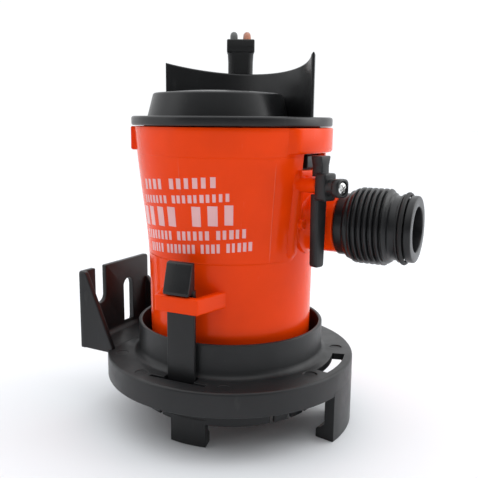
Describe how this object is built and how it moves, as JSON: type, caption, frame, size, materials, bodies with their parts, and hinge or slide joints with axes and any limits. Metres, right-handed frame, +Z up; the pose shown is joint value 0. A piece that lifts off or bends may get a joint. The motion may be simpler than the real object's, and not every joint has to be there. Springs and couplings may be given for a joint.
{
  "type": "cartridge bilge pump",
  "caption": "Submersible bilge pump: orange housing with a threaded side outlet, black strainer base on feet, snap latches and a twist-out motor cartridge with two leads.",
  "frame": {"origin": "on the floor under the middle of the pump's footprint, 8.2 mm towards the outlet from the pump's upright axis", "axes": "+Z upwards along the pump's axis, +X along the discharge outlet's axis pointing out of the port, +Y completes a right-handed frame; the leads leave the cap towards +Y and are laid on the floor behind the pump"},
  "size_m": [0.1403, 0.144, 0.1379],
  "materials": {
    "black": "semi-gloss moulded black plastic",
    "orange": "glossy moulded orange-red plastic",
    "rubber": "matt black rubber",
    "steel": "plated or stainless steel",
    "copper": "enamelled copper wire and copper bars",
    "brass": "bright brass and sintered bronze",
    "carbon": "dull carbon",
    "ferrite": "dull sintered ferrite",
    "white": "natural white plastic",
    "black_lead": "soft black insulation with a satin skin",
    "brown_lead": "soft brown insulation with a satin skin"
  },
  "bodies": {
    "body": {"strainer_base": "black", "housing": "orange", "discharge_port": "black", "port_o_ring": "rubber", "port_gasket": "rubber", "lever_screw": "steel"},
    "cartridge": {"cartridge_cap": "black", "cap_o_ring": "rubber", "cartridge_sleeve": "black", "wire_grommet": "rubber", "motor_can": "steel", "motor_end_cap": "white", "magnet_left": "ferrite", "magnet_right": "ferrite", "lower_bearing": "brass", "upper_bearing": "brass", "shaft_seal": "rubber", "brush_left": "carbon", "brush_right": "carbon", "brush_spring_left": "brass", "brush_spring_right": "brass", "terminal_left": "brass", "terminal_right": "brass", "lead_black": "black_lead", "lead_brown": "brown_lead", "coil_black": "black_lead", "coil_brown": "brown_lead"},
    "rotor": {"motor_shaft": "steel", "armature_core": "steel", "armature_windings": "copper", "commutator": "copper", "impeller": "white", "impeller_clip": "steel"},
    "lever": {"lock_lever": "black"},
    "front_latch": {"latch_front": "black"},
    "rear_latch": {"latch_rear": "black"}
  },
  "joints": [
    {"name": "cartridge_twist", "type": "hinge", "parent": "body", "child": "cartridge", "pos_m": [-0.00824, 0, 0.09], "axis": [0, 0, 1], "range_deg": [0, 14]},
    {"name": "rotor_spin", "type": "hinge", "parent": "cartridge", "child": "rotor", "pos_m": [-0.00824, 0, 0.06], "axis": [0, 0, 1], "continuous": true},
    {"name": "lever_swing", "type": "hinge", "parent": "body", "child": "lever", "pos_m": [0.03132, -0.01409, 0.085], "axis": [-0.9421, 0.3355, 0], "range_deg": [0, 14]},
    {"name": "latch_front_flex", "type": "hinge", "parent": "body", "child": "front_latch", "pos_m": [-0.00708, -0.03498, 0.0239], "axis": [-0.9995, -0.0332, 0], "range_deg": [0, 6], "stiffness_Nm_per_rad": 0.4},
    {"name": "latch_rear_flex", "type": "hinge", "parent": "body", "child": "rear_latch", "pos_m": [-0.0094, 0.03498, 0.0239], "axis": [0.9995, 0.0332, 0], "range_deg": [0, 6], "stiffness_Nm_per_rad": 0.4}
  ]
}
